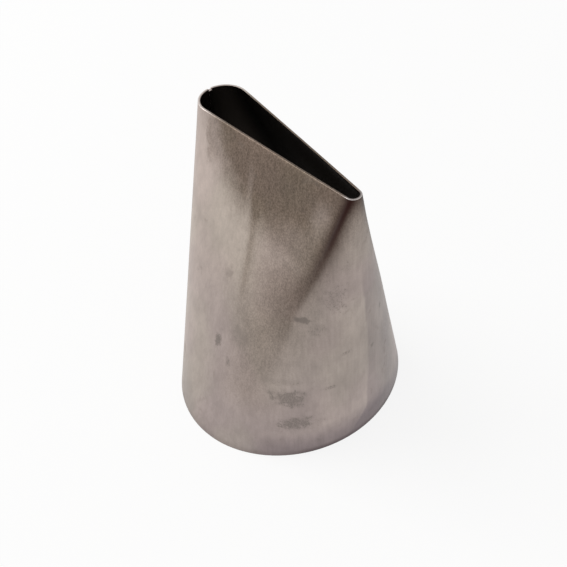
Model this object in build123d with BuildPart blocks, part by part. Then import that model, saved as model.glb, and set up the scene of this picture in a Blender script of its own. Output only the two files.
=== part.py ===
from build123d import *
from math import atan, atan2, cos, degrees, hypot, radians, sin
import os

# Large petal piping nozzle: thin sheet rolled into a tube, welded along one line
# and pressed flat at the top into a teardrop mouth.
# Frame: the middle of the base is the origin, +Z runs up to the mouth, and the
# mouth lies along X with its wide end at -X and its narrow tip at +X.

# Overall size, mm
height = 41.5
base_half_length = 15.0
base_half_width = 16.5
mouth_length = 28.1
mouth_shift = 0.35
wide_end_radius = 3.15
narrow_end_radius = 1.02
wall = 0.3

# Creases that the press leaves in both flanks, under the narrow tip
crease_depth = 0.7

# Seam up the wide end
seam_width = 0.5
seam_crown = 0.1
seam_notch = 0.2

overrun = 2.0

# One row for each level of the pressed part, from the mouth down to the plain cone:
# how far down the level lies and how deep the crease is, both as shares, then turns
# in degrees from the line of the flank to the start of the facet, to the crease and
# to the crest beside it, and how sharply the sheet turns in the crease. The last three
# rows lie on the cone, so that the pressed part leaves it in line
pressed_shares = (
    (0.00, 0.0, 0, 0, 44, 0.6),
    (0.06, 0.6, -3, 13, 45, 22),
    (0.15, 1.0, -7, 17, 45, 34),
    (0.27, 0.9, -11, 16, 40, 28),
    (0.40, 0.5, -15, 12, 34, 14),
    (0.52, 0.1, -18, 8, 30, 3),
    (0.62, 0.0, -20, 5, 27, 0.6),
    (0.66, 0.0, -20, 5, 27, 0.6),
    (0.70, 0.0, -20, 5, 27, 0.6),
)
handle_share = 0.34

# Places that follow from the sizes
wide_centre = mouth_shift - mouth_length / 2 + wide_end_radius
narrow_centre = mouth_shift + mouth_length / 2 - narrow_end_radius
flank_lean = (wide_end_radius - narrow_end_radius) / (narrow_centre - wide_centre)
flank_angle = degrees(atan(flank_lean)) - 90


def heading(angle, length):
    """Step of this length along an angle in the level cut."""
    return Vector(length * cos(radians(angle)), length * sin(radians(angle)))


def end_curve(centre, radius, share, inset):
    """Centre and radii of one rounded end at this share of the way down."""
    x_radius = radius + (base_half_length - radius) * share - inset
    y_radius = radius + (base_half_width - radius) * share - inset
    return centre * (1 - share), x_radius, y_radius


def end_point(curve, angle):
    """Point of a rounded end where its outward normal has this angle."""
    centre, x_radius, y_radius = curve
    across = x_radius * cos(radians(angle))
    along = y_radius * sin(radians(angle))
    size = hypot(across, along)
    return Vector(centre + x_radius * across / size, y_radius * along / size)


def curve_angle(curve, point):
    """Angle of a point of a rounded end, counted along its ellipse."""
    centre, x_radius, y_radius = curve
    return degrees(atan2(point.Y / y_radius, (point.X - centre) / x_radius))


def bend(first, first_angle, last, last_angle):
    """Four control points of a curve that leaves and arrives at the given angles."""
    handle = (last - first).length * handle_share
    return [first, first + heading(first_angle, handle), last - heading(last_angle, handle), last]


def mirrored(points):
    """The same control points on the back flank, in the other order."""
    return [Vector(point.X, -point.Y) for point in reversed(points)]


def level_outline(share, pressing, inset):
    """Closed outline of a level cut through the tube, inset from its outer surface."""
    depth_share, facet_turn, crease_turn, crest_turn, fold = pressing
    wide = end_curve(wide_centre, wide_end_radius, share, inset)
    narrow = end_curve(narrow_centre, narrow_end_radius, share, inset)
    facet_angle = flank_angle + facet_turn
    crease_angle = flank_angle + crease_turn
    crest_angle = flank_angle + crest_turn
    facet_start = end_point(wide, facet_angle)
    crest = end_point(narrow, crest_angle)
    crease = end_point(narrow, crease_angle) - heading(crease_angle, crease_depth * depth_share)
    facet_end_angle = flank_angle + 90 + crease_turn * (1 - depth_share)
    facet = bend(facet_start, facet_angle + 90, crease, facet_end_angle)
    roll = bend(crease, facet_end_angle - fold, crest, crest_angle + 90)
    wide_turn = curve_angle(wide, facet_start)
    narrow_turn = curve_angle(narrow, crest)
    with BuildLine() as outline:
        EllipticalCenterArc((wide[0], 0), wide[1], wide[2], -wide_turn, arc_size=360 + 2 * wide_turn)
        Bezier(*facet)
        Bezier(*roll)
        EllipticalCenterArc((narrow[0], 0), narrow[1], narrow[2], narrow_turn, arc_size=-2 * narrow_turn)
        Bezier(*mirrored(roll))
        Bezier(*mirrored(facet))
    return outline.edges()


def tube_solid(inset):
    """Solid inside one surface of the sheet: a plain cone below, the pressed part above."""
    last_share, *last_pressing = pressed_shares[-1]
    with BuildPart() as solid:
        for share in (1, last_share):
            edges = level_outline(share, last_pressing, inset)
            with BuildSketch(Plane.XY.offset(height * (1 - share))):
                make_face(edges)
        loft(ruled=True)
        for share, *pressing in reversed(pressed_shares):
            edges = level_outline(share, pressing, inset)
            with BuildSketch(Plane.XY.offset(height * (1 - share))):
                make_face(edges)
        loft()
    return solid.part


outside = tube_solid(0)
inside = tube_solid(wall)

# The seam runs up the wide end, between the middle of the hollow and past the base
seam_plane = Plane.XY.offset(-overrun)
seam_length = base_half_length + overrun + wide_centre
seam_middle = wide_centre - seam_length / 2

# The sheet, with the two edges that meet at the seam
with BuildPart() as nozzle_shell:
    add(outside)
    add(inside, mode=Mode.SUBTRACT)
    with BuildSketch(seam_plane):
        with Locations((seam_middle, 0)):
            Rectangle(seam_length, seam_width)
    extrude(amount=height + 2 * overrun, mode=Mode.SUBTRACT)
nozzle_shell.part.label = "nozzle_shell"

# The weld that fills the seam: flush outside, slightly proud inside, short of the lip
with BuildPart() as seam_weld:
    add(outside)
    add(inside.moved(Location((seam_crown, 0, 0))), mode=Mode.SUBTRACT)
    with BuildSketch(seam_plane):
        with Locations((seam_middle, 0)):
            Rectangle(seam_length, seam_width)
    extrude(amount=height - seam_notch + overrun, mode=Mode.INTERSECT)
seam_weld.part.label = "seam_weld"

os.makedirs("parts", exist_ok=True)
export_step(nozzle_shell.part, "parts/nozzle_shell.step")
export_step(seam_weld.part, "parts/seam_weld.step")
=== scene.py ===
import math
import bmesh
import bpy
from mathutils import Matrix, Vector, noise
from mathutils.bvhtree import BVHTree


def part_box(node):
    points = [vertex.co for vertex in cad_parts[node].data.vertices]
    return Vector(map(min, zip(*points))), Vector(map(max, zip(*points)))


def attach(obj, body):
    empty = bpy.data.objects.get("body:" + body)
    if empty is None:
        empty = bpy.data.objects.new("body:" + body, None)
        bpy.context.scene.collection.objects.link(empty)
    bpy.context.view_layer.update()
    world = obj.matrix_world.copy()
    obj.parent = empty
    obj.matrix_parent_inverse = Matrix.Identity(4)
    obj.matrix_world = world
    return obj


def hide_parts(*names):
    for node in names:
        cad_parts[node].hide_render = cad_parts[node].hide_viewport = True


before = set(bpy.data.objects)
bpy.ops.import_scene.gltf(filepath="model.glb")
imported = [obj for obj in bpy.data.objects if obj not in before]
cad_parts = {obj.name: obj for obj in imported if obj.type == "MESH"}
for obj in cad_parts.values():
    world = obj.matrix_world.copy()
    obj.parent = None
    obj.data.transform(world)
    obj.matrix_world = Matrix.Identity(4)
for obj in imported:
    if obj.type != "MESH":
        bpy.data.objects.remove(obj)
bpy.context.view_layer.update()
mm = 0.001
print("stage: frame loaded")


# Helpers

def newObject(name, bm, material):
    mesh = bpy.data.meshes.new(name)
    bm.to_mesh(mesh)
    bm.free()
    for face in mesh.polygons:
        face.use_smooth = True
    mesh.materials.append(material)
    obj = bpy.data.objects.new(name, mesh)
    bpy.context.scene.collection.objects.link(obj)
    return obj


def blendValue(low, high, share):
    return low + (high - low) * share


def rampShare(value, start, end):
    # 0 before the start and 1 past the end, which may also be the lower of the two
    share = min(max((value - start) / (end - start), 0.0), 1.0)
    return share * share * (3 - 2 * share)


def bellShare(value, middle, halfWidth):
    return math.exp(-((value - middle) / halfWidth) ** 2)


def noiseSum(place, waves):
    # each wave is a fineness and a height
    return sum(height * noise.noise(place * fineness) for fineness, height in waves)


# Materials

nodeGap = 220       # between the nodes of a tree, which stand in one row


def feedNode(tree, node, feeds):
    # gives each named socket another node's output or a plain value
    for socket, value in feeds.items():
        if isinstance(value, bpy.types.NodeSocket):
            tree.links.new(value, node.inputs[socket])
        else:
            node.inputs[socket].default_value = value


def addNode(tree, kind, feeds=None, **values):
    node = tree.nodes.new(kind)
    node.location.x = nodeGap * len(tree.nodes)
    for key, value in values.items():
        setattr(node, key, value)
    feedNode(tree, node, feeds or {})
    return node


# Sockets of the group that mixes painted shade, painted highlights and real wear, and the settings
# and vertex attributes that feed them
# of these colours all but the metal and the smudge are painted shade, a painted dark reflection or
# a painted highlight
steelColors = ("Metal", "Shaded", "Shadowed", "Smudge", "Deepshade", "Inner", "Bright")
steelAmounts = {"Smudge Amount": "smudgeAmount", "Roughness Base": "roughness"}
steelMasks = {
    "Pressed Mask": "shaded",
    "Dull Mask": "shadowedShare",
    "Smudge Mask": "smudged",
    "Tarnish Mask": "crease",
    "Inner Mask": "inner",
    "Bright Mask": "glintPolish",
}

wearLook = {
    # stretch, scale, detail and roughness of each pattern
    "streaks": ((1.0, 1.0, 0.06), 3.2, 4.0, 0.5),
    "grain": ((1.0, 1.0, 1.0), 4.5, 3.0, 0.7),
    "clouds": ((1.0, 1.0, 0.7), 0.16, 3.0, 0.5),
    "spots": ((1.0, 1.0, 0.8), 0.42, 4.0, 0.6),
    "patches": ((1.0, 1.0, 0.5), 0.9, 3.0, 0.6),
    "speckles": ((1.0, 1.0, 0.7), 5.5, 2.0, 0.7),
    "tints": ((1.0, 1.0, 0.8), 0.11, 1.0, 0.5),
    # where the ramp of a pattern begins and ends, and its values there
    "streakShade": (0.3, 0.7, 0.97, 1.03),
    "grainShade": (0.25, 0.75, 0.94, 1.06),
    "cloudShade": (0.3, 0.7, 0.90, 1.08),
    "patchShade": (0.3, 0.7, 0.95, 1.05),
    "speckleShade": (0.32, 0.68, -0.28, 0.20),
    "speckleStreaks": (0.3, 0.7, -0.07, 0.06),
    "tintShare": (0.40, 0.60, 0.0, 1.0),
    "spotShare": (0.60, 0.72, 0.0, 1.0),
    "smudgeSpecks": (0.62, 1.02, 0.0, 0.72),
    "grainRoughness": (0.3, 0.7, -0.05, 0.05),
    "spotRoughness": (0.55, 0.75, 0.0, 0.08),
    "olive": (0.995, 1.008, 0.985, 1),      # a touch of it in places
    "lilac": (1.005, 0.992, 1.0, 1),        # and of this in others
    "smudgeLift": 0.55,         # of the speckles where a smudge is
    "smudgeEven": 0.68,         # the part of a smudge that doesn't break up into specks
    "brightPolish": 0.12,       # off the roughness where the lip is polished under its painted highlight
    "grainHeight": 0.5,
    "bumpDepth": 0.02 * mm,
}


def makeShadeWearGroup(look):
    # rubbed and smudged metal with painted shade and painted highlights: a colour, a roughness and
    # a height from one set of patterns
    group = bpy.data.node_groups.new("shadedWornMetal", "ShaderNodeTree")
    sockets = [(name, "INPUT", "NodeSocketColor") for name in steelColors]
    sockets += [(name, "INPUT", "NodeSocketFloat") for name in (*steelMasks, *steelAmounts)]
    sockets += [("Color", "OUTPUT", "NodeSocketColor")]
    sockets += [(name, "OUTPUT", "NodeSocketFloat") for name in ("Roughness", "Height")]
    for name, way, kind in sockets:
        group.interface.new_socket(name=name, in_out=way, socket_type=kind)
    given = addNode(group, "NodeGroupInput").outputs
    coords = addNode(group, "ShaderNodeTexCoord").outputs["Object"]

    def pattern(name):
        stretch, scale, detail, rough = look[name]
        feeds = {"Vector": coords, "Scale": [part / mm for part in stretch]}
        stretched = addNode(group, "ShaderNodeMapping", feeds).outputs["Vector"]
        feeds = {"Vector": stretched, "Scale": scale, "Detail": detail, "Roughness": rough}
        return addNode(group, "ShaderNodeTexNoise", feeds).outputs["Fac"]

    def ramp(name, source):
        low, high, bottom, top = look[name]
        feeds = {"Value": source, "From Min": low, "From Max": high}
        feeds |= {"To Min": bottom, "To Max": top}
        node = addNode(group, "ShaderNodeMapRange", feeds, interpolation_type="SMOOTHSTEP")
        return node.outputs["Result"]

    def mix(factor, first, second, blend="MIX"):
        feeds = {"Factor": factor, "A": first, "B": second}
        node = addNode(group, "ShaderNodeMix", feeds, data_type="RGBA", blend_type=blend)
        return node.outputs["Result"]

    def calc(kind, first, second):
        return addNode(group, "ShaderNodeMath", {0: first, 1: second}, operation=kind).outputs[0]

    streaks, grain, clouds, spots = map(pattern, ("streaks", "grain", "clouds", "spots"))
    patches, speckles, tints = map(pattern, ("patches", "speckles", "tints"))

    shade = calc("MULTIPLY", ramp("streakShade", streaks), ramp("grainShade", grain))
    shade = calc("MULTIPLY", shade, ramp("cloudShade", clouds))
    shade = calc("MULTIPLY", shade, ramp("patchShade", patches))
    # the real grain is stronger on the facet, where its painted shade is
    speckled = calc("ADD", ramp("speckleShade", speckles), ramp("speckleStreaks", streaks))
    speckled = calc("MULTIPLY", speckled, given["Pressed Mask"])
    shade = calc("MULTIPLY", shade, calc("ADD", speckled, 1.0))

    # painted shade: the facet's painted dark reflection and the low parts' warm painted shade
    color = mix(given["Pressed Mask"], given["Metal"], given["Shaded"])
    # painted shade on the narrow end, its far side and the low parts
    color = mix(given["Dull Mask"], color, given["Shadowed"])
    tint = mix(ramp("tintShare", tints), look["olive"], look["lilac"])
    color = mix(1.0, color, tint, "MULTIPLY")
    color = mix(1.0, color, shade, "MULTIPLY")

    smudge = given["Smudge Mask"]
    lifted = calc("ADD", calc("MULTIPLY", smudge, look["smudgeLift"]), speckles)
    even = calc("MULTIPLY", calc("MULTIPLY", smudge, smudge), look["smudgeEven"])
    smudged = calc("MAXIMUM", ramp("smudgeSpecks", lifted), even)
    spotted = calc("MULTIPLY", ramp("spotShare", spots), given["Smudge Amount"])
    color = mix(calc("MAXIMUM", spotted, smudged), color, given["Smudge"])
    # painted shade in the crease, below the mouth and along the base's edge
    color = mix(given["Tarnish Mask"], color, given["Deepshade"])
    # painted shade inside the tube
    color = mix(given["Inner Mask"], color, given["Inner"])
    # painted highlight on the lip
    color = mix(given["Bright Mask"], color, given["Bright"])

    rough = calc("ADD", given["Roughness Base"], ramp("grainRoughness", grain))
    rough = calc("ADD", rough, ramp("spotRoughness", spots))
    polish = calc("MULTIPLY", given["Bright Mask"], look["brightPolish"])
    rough = calc("SUBTRACT", rough, polish)
    height = calc("ADD", streaks, calc("MULTIPLY", grain, look["grainHeight"]))
    addNode(group, "NodeGroupOutput", {"Color": color, "Roughness": rough, "Height": height})
    return group


def facingShare(tree, least):
    # 1 on faces that look towards the narrow tip, as the weld's inner face does, which get painted
    # shade
    normal = addNode(tree, "ShaderNodeNewGeometry").outputs["True Normal"]
    across = addNode(tree, "ShaderNodeSeparateXYZ", {"Vector": normal}).outputs["X"]
    node = addNode(tree, "ShaderNodeMath", {0: across, 1: least}, operation="GREATER_THAN")
    return node.outputs[0]


def makeSteel(name, values):
    material = bpy.data.materials.new(name)
    material.use_nodes = True
    tree = material.node_tree
    colors = {socket: socket.lower() for socket in steelColors}
    feeds = {socket: (*values[key], 1) for socket, key in colors.items() if key in values}
    for socket, key in steelAmounts.items():
        feeds[socket] = values[key]
    if "facing" in values:
        feeds["Inner Mask"] = facingShare(tree, values["facing"])
    else:
        for socket, attribute in steelMasks.items():
            reader = addNode(tree, "ShaderNodeAttribute", attribute_name=attribute)
            feeds[socket] = reader.outputs["Fac"]
    shadeAndWear = addNode(tree, "ShaderNodeGroup", feeds, node_tree=shadeWearGroup).outputs
    feeds = {"Strength": values["bump"], "Distance": wearLook["bumpDepth"]}
    bump = addNode(tree, "ShaderNodeBump", {"Height": shadeAndWear["Height"], **feeds})
    feedNode(tree, tree.nodes["Principled BSDF"], {
        "Metallic": 1.0,
        "Base Color": shadeAndWear["Color"],
        "Roughness": shadeAndWear["Roughness"],
        "Normal": bump.outputs["Normal"],
    })
    return material


shadeWearGroup = makeShadeWearGroup(wearLook)
sheetSteel = makeSteel("sheetSteel", {
    "metal": (0.485, 0.413, 0.370),
    # painted dark reflection on the facet, and painted shade low down below it
    "shaded": (0.188, 0.144, 0.113),
    # painted highlight on the lip
    "bright": (0.62, 0.58, 0.56),
    # painted shade inside the tube
    "inner": (0.030, 0.024, 0.020),
    # painted shade on the narrow end, its far side and the low parts
    "shadowed": (0.215, 0.178, 0.181),
    "smudge": (0.17, 0.147, 0.130),
    # painted shade in the crease, below the mouth and along the base's edge
    "deepshade": (0.031, 0.013, 0.011),
    "smudgeAmount": 0.22,
    "roughness": 0.42,
    "bump": 0.22,
})
weldSteel = makeSteel("weldSteel", {
    "metal": (0.40, 0.35, 0.32),
    # painted shade on the weld's inner face
    "inner": (0.030, 0.024, 0.020),
    "smudge": (0.22, 0.19, 0.17),
    "smudgeAmount": 0.4,
    "roughness": 0.36,
    "bump": 0.5,
    "facing": 0.5,          # a normal with more X than this is its inner face's, which gets painted shade
})
print("stage: materials made")


# The pressed sheet

sheetSkin = {
    "columns": 336,         # round the tube
    "levels": 128,          # up the tube
    "narrowShare": 0.26,    # of the half turn that goes round the narrow tip of the mouth
    "flankShare": 0.40,     # and of the half turn that runs along the flank
    "flankNormal": 86,      # degrees from the tip's direction to the flank's normal
    "tipInset": 1.0 * mm,   # from the end of the tip to the point its rays aim at
    "rayInset": 0.02 * mm,  # of the first and the last rays, from the rims
    "rayReach": 2,          # from the aim to a ray's start, in half widths of the base
    "mergeGap": 0.0005 * mm,
    "topGap": 0.001 * mm,   # the CAD's points nearer than this to the top are the mouth
    "rimGap": 0.01 * mm,    # and the sheet's nearer than this to an end are a rim
    "smoothing": 4,
    "smoothShare": 0.5,
    "dentHeight": 0.02 * mm,
    "dentSize": 7 * mm,
    "dentFade": 3 * mm,     # from the rims
    "dentSeed": (3.1, 7.7, 1.3),
    "wall": 0.285 * mm,
    "seamHalf": 0.25 * mm,
    "lipAngle": 0.9,        # radians; a rim's sharper edges are rounded
    "lipRound": 0.05 * mm,
    "lipSegments": 2,
    "lipDepth": 0.02 * mm,
    "lipWide": (-8.5, -11),         # the lip gets a painted highlight and a polish between these places, in mm,
    "lipNarrow": (12.6, 13.8),      # and these
    "lipBright": (0.08, 0.75),      # how bright its painted highlight is in its middle and at its ends
    "lipInner": 0.45,               # how much of the inside's painted shade its inner edge has
}

# Painted shade, painted highlights and real smudges, in mm and shares. A pair of heights or places
# says where a tone begins and where it is full
tones = {
    # one row for each height: where the facet starts, where the crease runs, where the facet's
    # painted dark reflection begins and is full as shares of the way between them, how dark it is,
    # then the spread of the crease's painted shade towards the facet and towards the tip, and its
    # strength
    "rows": (
        (41.5, -10.27, 14.05, -0.04, 0.18, 1.00, 1.00, 0.6, 1.00),
        (39.0, -9.78, 13.42, -0.03, 0.27, 1.00, 0.98, 0.75, 1.00),
        (35.3, -9.12, 12.70, 0.05, 0.44, 1.00, 1.15, 1.0, 0.92),
        (30.3, -8.32, 11.72, 0.23, 1.00, 0.88, 1.3, 1.15, 0.60),
        (24.9, -7.59, 10.25, 0.24, 1.00, 0.75, 2.0, 1.5, 0.22),
        (19.9, -6.99, 9.60, 0.34, 0.90, 0.52, 2.6, 2.2, 0.08),
        (15.8, -6.50, 8.80, 0.50, 1.05, 0.26, 3.0, 2.6, 0.03),
        (12.4, -5.88, 8.00, 0.55, 1.20, 0.00, 3.0, 2.6, 0.00),
    ),
    "edgeWaves": ((0.7, 0.030), (2.3, 0.022)),      # so that the dark tone's edge isn't a line
    "mouthEdge": {                  # that edge is sharper just below the mouth
        "tone": 0.5,
        "along": (0.02, 0.06),
        "heights": (35, 38),
    },
    "fold": {                       # painted shade and a painted highlight along a faint upright line on the front facet
        "height": 35.7,
        "x": -0.12,                 # at that height
        "lean": 0.126,
        "rise": (19, 25),           # the heights over which it comes
        "fall": (40, 36),           # and goes
        "side": (0.3, 1.2),         # right of it the painted shade is darker
        "sideTone": 0.46,
        "darkLine": (1.25, 0.6),    # middle and half width
        "darkTone": 0.30,
        "lightLine": (0.05, 0.5),
        "lightTone": 0.25,
    },
    "glows": (                      # painted highlights, lighter strips by the crease: place, half width, tone, heights
        (0.78, 0.16, 0.22, 27, 36),
        (0.89, 0.055, 0.34, 33, 40.5),
    ),
    "glowFade": (3.5, 3.0),         # at the bottom and the top of each
    "crest": {                      # past the crease, low down and at the mouth
        "heights": (18, 38),
        "step": (1.3, 0.7),         # the facet's tone drops over this length
        "fade": (7.0, 2.4),         # and the rest of it fades over this one
        "dropHeights": (29, 35),
        "drop": (0.55, 0.15),
    },
    "body": {                       # painted shade: all that is low is a little darker
        "tone": 0.12,
        "heights": (27.0, 20.0),
    },
    "skirt": {                      # and lower still more so
        "tone": 0.38,
        "heights": (26.0, 14.0),
        "wide": (2, 8),             # past the facet's start, so little of it on the wide end
        "narrow": (12.5, 14.3),
        "narrowShare": 0.5,
    },
    "rim": {                        # painted shade at the base's edge
        "tone": 0.88,
        "heights": (8.5, 0.5),
        "places": (3, 12),
        "wideShare": 0.4,
    },
    "rimTip": {                     # and its part below the narrow tip
        "tone": 1.00,
        "heights": (2.6, 0.2),
        "places": (10.0, 14.0),
    },
    "rimLine": {                    # painted shade, the dark line at the very edge of the base where it stands
        "heights": (1.1, 0.15),
        "places": (10.5, 14.2),
        "tones": (0.16, 0.50),
    },
    "tip": {                        # painted shade on the narrow end
        "tone": 0.29,
        "past": (-1, 3),
    },
    "farSide": {                    # painted shade on the far side of the narrow end
        "tone": 0.30,
        "y": 1.8,                   # where it starts
        "leanHeight": 17.0,         # above which its start leans
        "lean": 0.10,
        "baseShift": 3.0,
        "baseHeights": (5, 0),
        "blend": 0.25,
        "fall": (11, 6),
        "heights": (33, 26),
    },
    "warm": {                       # the skirt's painted shade is warmer below the facet
        "share": 0.8,
        "place": (6.5, 4.5),        # middle and half width
        "heights": (5, 11),
    },
    "mouth": {                      # painted dark reflection, the facet is darkest just below the mouth
        "tone": 0.07,
        "heights": (34, 39),
    },
    "smudges": (                    # place, half its width and height on the sheet, and strength
        (0.5, -11.7, 15.0, 0.7, 1.4, 0.85),
        (2.85, -12.0, 13.1, 0.6, 1.1, 0.60),
        (11.5, -8.8, 11.2, 2.7, 1.8, 0.80),
        (12.4, -8.4, 6.3, 3.0, 1.4, 0.75),
        (11.65, -6.1, 24.2, 1.2, 0.6, 1.00),
        (14.1, -4.3, 12.2, 1.2, 0.4, 0.60),
        (14.5, -1.8, 17.7, 0.9, 0.4, 0.55),
        (13.5, 4.5, 21.0, 0.4, 0.4, 0.85),
        (14.3, 2.55, 15.6, 0.4, 0.6, 0.85),
        (13.86, -3.0, 27.6, 2.2, 2.6, 0.50),
        (12.99, -4.96, 23.2, 2.0, 1.4, 0.46),
        (13.6, -2.2, 33.0, 1.6, 3.2, 0.36),
        (3.6, -10.8, 17.6, 2.0, 2.2, 0.44),
        (1.0, -11.0, 9.0, 2.6, 1.6, 0.30),
        (11.0, -10.0, 13.8, 4.0, 0.8, 0.40),
    ),
    "smudgeEdge": (1.2, 0.4),       # where one ends and where it is full, in its half sizes
    "smudgeWaves": ((1.1, 0.5), (2.7, 0.3)),
}


def castTree(node, mergeGap):
    # a merged copy of the CAD mesh, which rays are cast against
    bm = bmesh.new()
    bm.from_mesh(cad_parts[node].data)
    bmesh.ops.remove_doubles(bm, verts=bm.verts, dist=mergeGap)
    tree = BVHTree.FromBMesh(bm)
    bm.free()
    return tree


def mouthEnds(high, values):
    # the points inside both ends of the mouth that rays aim at, and the wide end's radius
    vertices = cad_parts["nozzle_shell"].data.vertices
    top = [v.co for v in vertices if v.co.z > high.z - values["topGap"]]
    wideRadius = max(co.y for co in top)
    wide = min(co.x for co in top) + wideRadius
    narrow = max(co.x for co in top) - values["tipInset"]
    return wide, narrow, wideRadius


def rayFor(angle, share, ends, baseRadius, values):
    # the aim and the direction of one point's ray; share is 0 at the mouth and 1 at the base
    wide, narrow, wideRadius = ends
    side = -1 if angle < 0 else 1
    turn = abs(angle) / math.pi / (1 - 2 / values["columns"])       # 1 at the seam's edges
    narrowEnd = values["narrowShare"]
    flankEnd = narrowEnd + values["flankShare"]
    flankNormal = math.radians(values["flankNormal"])
    if turn < narrowEnd:
        aim, normal = narrow, flankNormal * turn / narrowEnd
    elif turn < flankEnd:
        aim = blendValue(narrow, wide, (turn - narrowEnd) / (flankEnd - narrowEnd))
        normal = flankNormal
    else:
        aim = wide
        normal = blendValue(flankNormal, math.pi, (turn - flankEnd) / (1 - flankEnd))
    normal = blendValue(normal, turn * math.pi, share)
    seamTurn = math.asin(values["seamHalf"] / blendValue(wideRadius, baseRadius, share))
    normal *= side * (1 - seamTurn / math.pi)
    aim = Vector((aim * (1 - share), 0, 0))
    if turn > 1 - 0.5 / values["columns"]:      # the columns on the seam's two edges
        return aim + Vector((0, side * values["seamHalf"], 0)), Vector((-1, 0, 0))
    return aim, Vector((math.cos(normal), math.sin(normal), 0))


def makeSkin(low, high, values):
    # an even grid round the tube, open at the seam, laid on the CAD's outside
    ends = mouthEnds(high, values)
    tree = castTree("nozzle_shell", values["mergeGap"])
    bm = bmesh.new()
    bmesh.ops.create_cone(bm, cap_ends=False, segments=values["columns"],
                          radius1=high.y, radius2=high.y, depth=high.z - low.z,
                          matrix=Matrix.Translation((0, 0, (high.z + low.z) / 2)))
    uprights = [e for e in bm.edges if abs(e.verts[0].co.z - e.verts[1].co.z) > values["rimGap"]]
    bmesh.ops.subdivide_edges(bm, edges=uprights, cuts=values["levels"] - 1)
    seamColumn = [v for v in bm.verts if v.co.x < 0 and abs(v.co.y) < values["rimGap"]]
    bmesh.ops.delete(bm, geom=seamColumn, context="VERTS")
    missed = 0
    for vert in bm.verts:
        height = vert.co.z
        share = 1 - (height - low.z) / (high.z - low.z)
        angle = math.atan2(vert.co.y, vert.co.x)
        aim, outward = rayFor(angle, share, ends, -low.x, values)
        aim.z = min(max(height, low.z + values["rayInset"]), high.z - values["rayInset"])
        start = aim + outward * high.y * values["rayReach"]
        hit = tree.ray_cast(start, -outward)[0]
        if hit is None:
            missed += 1
            continue
        vert.co = (hit.x, hit.y, height)
    print("sheet: rays that missed", missed)
    loose = [v for v in bm.verts if not v.is_boundary]      # the rims and the seam stay put
    for _ in range(values["smoothing"]):
        bmesh.ops.smooth_vert(bm, verts=loose, factor=values["smoothShare"],
                              use_axis_x=True, use_axis_y=True, use_axis_z=False)
    return bm


def dentSkin(bm, low, high, values):
    # shallow dents, only inwards
    bm.normal_update()
    seed = Vector(values["dentSeed"])
    for vert in bm.verts:
        if vert.is_boundary:
            continue
        fade = rampShare(vert.co.z, low.z, low.z + values["dentFade"])
        fade *= rampShare(vert.co.z, high.z, high.z - values["dentFade"])
        depth = (1 + noise.noise(vert.co / values["dentSize"] + seed)) / 2
        vert.co -= vert.normal * values["dentHeight"] * fade * depth


def rowAt(height, rows):
    # the row of numbers for this height, blended between the two nearest
    for upper, lower in zip(rows, rows[1:]):
        if height >= lower[0]:
            share = (height - lower[0]) / (upper[0] - lower[0])
            return [blendValue(a, b, share) for a, b in zip(lower[1:], upper[1:])]
    return rows[-1][1:]


def facetTone(place, along, darkRamp, values):
    # the facet's painted dark reflection, which grows on the way from the facet's start to the
    # crease
    dark = rampShare(along, *darkRamp)
    edge = values["mouthEdge"]
    edgeTone = edge["tone"] * rampShare(along, *edge["along"])
    dark = max(dark, edgeTone * rampShare(place.z, *edge["heights"]))
    if place.y < 0:         # the fold's painted shade is on the front only
        fold = values["fold"]
        beside = place.x - fold["x"] - (fold["height"] - place.z) * fold["lean"]
        shown = rampShare(place.z, *fold["rise"]) * rampShare(place.z, *fold["fall"])
        dark = max(dark, fold["sideTone"] * shown * rampShare(beside, *fold["side"]))
        dark += fold["darkTone"] * shown * bellShare(beside, *fold["darkLine"])
        dark *= 1 - fold["lightTone"] * shown * bellShare(beside, *fold["lightLine"])
    rise, fall = values["glowFade"]
    for middle, halfWidth, tone, bottom, top in values["glows"]:
        tone *= rampShare(place.z, bottom, bottom + rise) * rampShare(place.z, top, top - fall)
        dark *= 1 - tone * bellShare(along, middle, halfWidth)
    return dark


def crestShare(height, past, crest):
    # what is left of the facet's tone at this distance past the crease
    upShare = rampShare(height, *crest["heights"])
    step = blendValue(*crest["step"], upShare)
    fade = blendValue(*crest["fade"], upShare)
    drop = blendValue(*crest["drop"], rampShare(height, *crest["dropHeights"]))
    return 1 - drop * rampShare(past, 0, step) - (1 - drop) * rampShare(past, 0, fade)


def placedTone(place, mark):
    return mark["tone"] * rampShare(place.z, *mark["heights"])


def lowTone(place, start, values):
    # painted shade on the skirt and at the base's edge
    skirt, rim, rimTip = values["skirt"], values["rim"], values["rimTip"]
    skirtShare = rampShare(place.x, *(start + step for step in skirt["wide"]))
    skirtShare *= blendValue(1, skirt["narrowShare"], rampShare(place.x, *skirt["narrow"]))
    rimShare = blendValue(rim["wideShare"], 1, rampShare(place.x, *rim["places"]))
    return max(placedTone(place, values["body"]) + placedTone(place, skirt) * skirtShare,
               placedTone(place, rim) * rimShare,
               placedTone(place, rimTip) * rampShare(place.x, *rimTip["places"]))


def farSideTone(place, mark):
    # painted shade on the far side of the narrow end, whose start leans and shifts near the base
    if place.x <= 0:
        return 0
    start = mark["y"] - mark["lean"] * max(place.z - mark["leanHeight"], 0)
    start -= mark["baseShift"] * rampShare(place.z, *mark["baseHeights"])
    share = rampShare(place.y, start - mark["blend"], start + mark["blend"])
    return placedTone(place, mark) * share * rampShare(place.y, *mark["fall"])


def smudgeTone(place, values):
    tone = 0
    waves = noiseSum(place, values["smudgeWaves"])
    for x, y, z, halfWidth, halfHeight, amount in values["smudges"]:
        aside = math.hypot(place.x - x, place.y - y) / halfWidth
        gap = math.hypot(aside, (place.z - z) / halfHeight) + waves
        tone = max(tone, amount * rampShare(gap, *values["smudgeEdge"]))
    return tone


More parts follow.
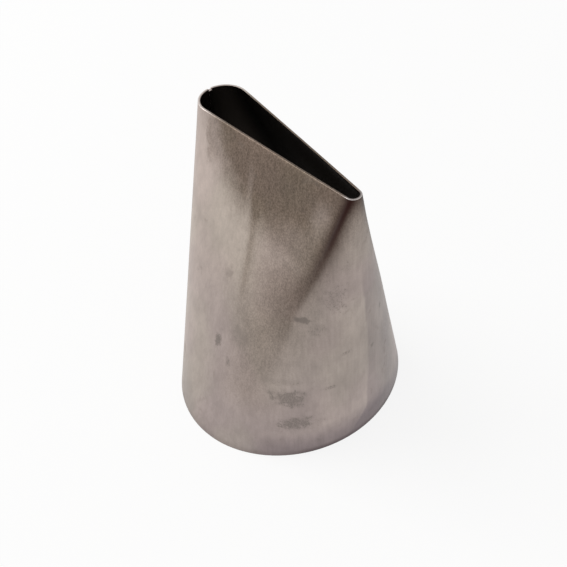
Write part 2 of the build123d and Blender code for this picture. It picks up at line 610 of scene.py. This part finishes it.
def paintMasks(bm, values):
    # painted shade and painted highlights, and the smudges that handling leaves, as attributes that
    # the material reads
    for name in steelMasks.values():
        bm.verts.layers.float.new(name)
    layers = bm.verts.layers.float
    shaded, shadowedShare, smudged, crease = map(layers.get, ("shaded", "shadowedShare", "smudged", "crease"))
    tip, warm, rimLine = values["tip"], values["warm"], values["rimLine"]
    for vert in bm.verts:
        place = vert.co / mm
        start, creaseX, *darkRamp, darkness, facetSpread, tipSpread, strength = rowAt(
            place.z, values["rows"])
        along = (place.x - start) / (creaseX - start) + noiseSum(place, values["edgeWaves"])
        past = place.x - creaseX
        dark = facetTone(place, along, darkRamp, values)
        low = lowTone(place, start, values)
        warmShare = warm["share"] * bellShare(place.x, *warm["place"])
        warmShare *= rampShare(place.z, *warm["heights"])
        # the facet's painted dark reflection, cut off past the crease, then the low parts' painted
        # shade where it is warm
        tone = min(dark, 1) * darkness * crestShare(place.z, past, values["crest"])
        vert[shaded] = tone + low * warmShare * (1 - tone)
        # painted shade of the low parts and the narrow end, and on the far side
        tone = max(low * (1 - warmShare), tip["tone"] * rampShare(past, *tip["past"]))
        vert[shadowedShare] = min(tone + farSideTone(place, values["farSide"]), 1)
        lineTone = blendValue(*rimLine["tones"], rampShare(place.x, *rimLine["places"]))
        # painted shade: the crease's dark band, the facet's painted dark reflection below the
        # mouth, and the base's dark edge line
        vert[crease] = max(strength * bellShare(past, 0, tipSpread if past > 0 else facetSpread),
                           dark * placedTone(place, values["mouth"]) * (past < 0),
                           lineTone * rampShare(place.z, *rimLine["heights"]))
        vert[smudged] = smudgeTone(place, values)


def thickenSheet(bm, low, high, values):
    # the wall grows inwards, and both rims are cut level again and rounded
    rim = bm.verts.layers.int.new("rim")
    for vert in bm.verts:
        vert[rim] = (vert.co.z > high.z - values["rimGap"]) - (vert.co.z < low.z + values["rimGap"])
    outer = set(bm.verts)
    bmesh.ops.solidify(bm, geom=bm.faces, thickness=values["wall"])
    inner = bm.verts.layers.float["inner"]
    for vert in bm.verts:
        # the inside gets painted shade
        vert[inner] = 0.0 if vert in outer else 1.0
        if vert[rim]:
            vert.co.z = high.z if vert[rim] > 0 else low.z
    rims = [e for e in bm.edges if e.calc_face_angle(0) > values["lipAngle"]
            and all(v.co.z in (low.z, high.z) for v in e.verts)]
    bmesh.ops.bevel(bm, geom=rims, offset=values["lipRound"], segments=values["lipSegments"],
                    profile=0.5, affect="EDGES", material=-1)
    for vert in bm.verts:        # inside the CAD's height
        vert.co.z = min(max(vert.co.z, low.z), high.z)


def paintLipGlint(bm, high, values):
    # the lip gets a painted highlight and a polish, most of all at its ends, and its inner edge
    # keeps part of the inside's painted shade
    inner, glintPolish = map(bm.verts.layers.float.get, ("inner", "glintPolish"))
    for vert in bm.verts:
        if vert.co.z > high.z - values["lipDepth"]:
            place = vert.co.x / mm
            ends = max(rampShare(place, *values["lipWide"]), rampShare(place, *values["lipNarrow"]))
            vert[glintPolish] = blendValue(*values["lipBright"], ends) * (1 - vert[inner])
            vert[inner] *= values["lipInner"]


def makeSheet(values):
    low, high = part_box("nozzle_shell")
    bm = makeSkin(low, high, values)
    dentSkin(bm, low, high, values)
    bmesh.ops.recalc_face_normals(bm, faces=bm.faces)
    far = max(bm.faces, key=lambda face: face.calc_center_median().y)
    if far.normal.y < 0:
        bmesh.ops.reverse_faces(bm, faces=bm.faces)
    paintMasks(bm, tones)
    thickenSheet(bm, low, high, values)
    paintLipGlint(bm, high, values)
    print("sheet: faces", len(bm.faces))
    return newObject("nozzleSheet", bm, sheetSteel)


nozzleSheet = makeSheet(sheetSkin)
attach(nozzleSheet, "root")
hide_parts("nozzle_shell")
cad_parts["seam_weld"].data.materials.clear()
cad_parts["seam_weld"].data.materials.append(weldSteel)
print("stage: sheet made")


# Floor, light and camera

studio = {
    "floorSize": 3.0,
    "floorColor": (0.95, 0.948, 0.945),
    "floorRoughness": 0.8,
    "floorSpecular": 0.1,
    "whiteShare": 0.85,     # of its white that doesn't depend on the light, for soft shadows
    "worldColor": (1.0, 0.995, 0.985),
    "worldStrength": 0.55,
    "keyEnergy": 1.6,
    "keySize": 0.35,
    "keyPlace": (-0.30, -0.20, 0.45),
    "keyAim": (0, 0, 20 * mm),
}


def seenRay(tree):
    # 1 for rays that show the background, straight or in metal or glass, and 0 for the others,
    # which light the part
    path = addNode(tree, "ShaderNodeLightPath").outputs
    seen = path["Is Camera Ray"]
    for kind in ("Is Glossy Ray", "Is Transmission Ray"):
        either = addNode(tree, "ShaderNodeMath", {0: seen, 1: path[kind]}, operation="MAXIMUM")
        seen = either.outputs[0]
    return seen


def mixShaders(tree, share, first, second):
    feeds = {0: share, 1: first.outputs[0], 2: second.outputs[0]}
    return addNode(tree, "ShaderNodeMixShader", feeds).outputs[0]


def makeFloor(values):
    bm = bmesh.new()
    bmesh.ops.create_grid(bm, x_segments=1, y_segments=1, size=values["floorSize"])
    material = bpy.data.materials.new("paleFloor")
    material.use_nodes = True
    tree = material.node_tree
    shader = tree.nodes["Principled BSDF"]
    feedNode(tree, shader, {
        "Base Color": (*values["floorColor"], 1),
        "Roughness": values["floorRoughness"],
        "Specular IOR Level": values["floorSpecular"],
    })
    feeds = {0: seenRay(tree), 1: values["whiteShare"]}
    part = addNode(tree, "ShaderNodeMath", feeds, operation="MULTIPLY").outputs[0]
    mixed = mixShaders(tree, part, shader, addNode(tree, "ShaderNodeEmission"))
    feedNode(tree, tree.nodes["Material Output"], {"Surface": mixed})
    floor = newObject("floor", bm, material)


def makeLights(values):
    world = bpy.data.worlds.new("studioWorld")
    world.use_nodes = True
    tree = world.node_tree
    pale = tree.nodes["Background"]
    feedNode(tree, pale, {"Color": (*values["worldColor"], 1), "Strength": values["worldStrength"]})
    white = addNode(tree, "ShaderNodeBackground", {"Color": (1, 1, 1, 1)})
    mixed = mixShaders(tree, seenRay(tree), pale, white)
    feedNode(tree, tree.nodes["World Output"], {"Surface": mixed})
    bpy.context.scene.world = world
    light = bpy.data.lights.new("keyLight", "AREA")
    light.energy = values["keyEnergy"]
    light.size = values["keySize"]
    lamp = bpy.data.objects.new("keyLight", light)
    lamp.location = values["keyPlace"]
    aim = Vector(values["keyAim"]) - lamp.location
    lamp.rotation_euler = aim.to_track_quat("-Z", "Y").to_euler()
    bpy.context.scene.collection.objects.link(lamp)


view = {
    "target": (0, 0, 20 * mm),
    "distance": 120 * mm,
    "azimuth": 54.32,
    "elevation": 44.73,
    "roll": 3.52,
    "lens": 57.7,
    "sensorWidth": 36,
    "shift": (-0.0018, -0.0245),
    "clipStart": 5 * mm,
}


def makeCamera(values):
    azimuth = math.radians(values["azimuth"])
    elevation = math.radians(values["elevation"])
    level = math.cos(elevation)
    back = Vector((math.sin(azimuth) * level, -math.cos(azimuth) * level, math.sin(elevation)))
    camera = bpy.data.objects.new("camera", bpy.data.cameras.new("camera"))
    camera.location = Vector(values["target"]) + back * values["distance"]
    turn = Matrix.Rotation(math.radians(-values["roll"]), 3, "Z")
    camera.rotation_euler = ((-back).to_track_quat("-Z", "Y").to_matrix() @ turn).to_euler()
    camera.data.lens = values["lens"]
    camera.data.sensor_width = values["sensorWidth"]
    camera.data.shift_x, camera.data.shift_y = values["shift"]
    camera.data.clip_start = values["clipStart"]
    bpy.context.scene.collection.objects.link(camera)
    bpy.context.scene.camera = camera


makeFloor(studio)
makeLights(studio)
makeCamera(view)
bpy.context.scene.view_settings.view_transform = "Standard"
print("stage: studio made")
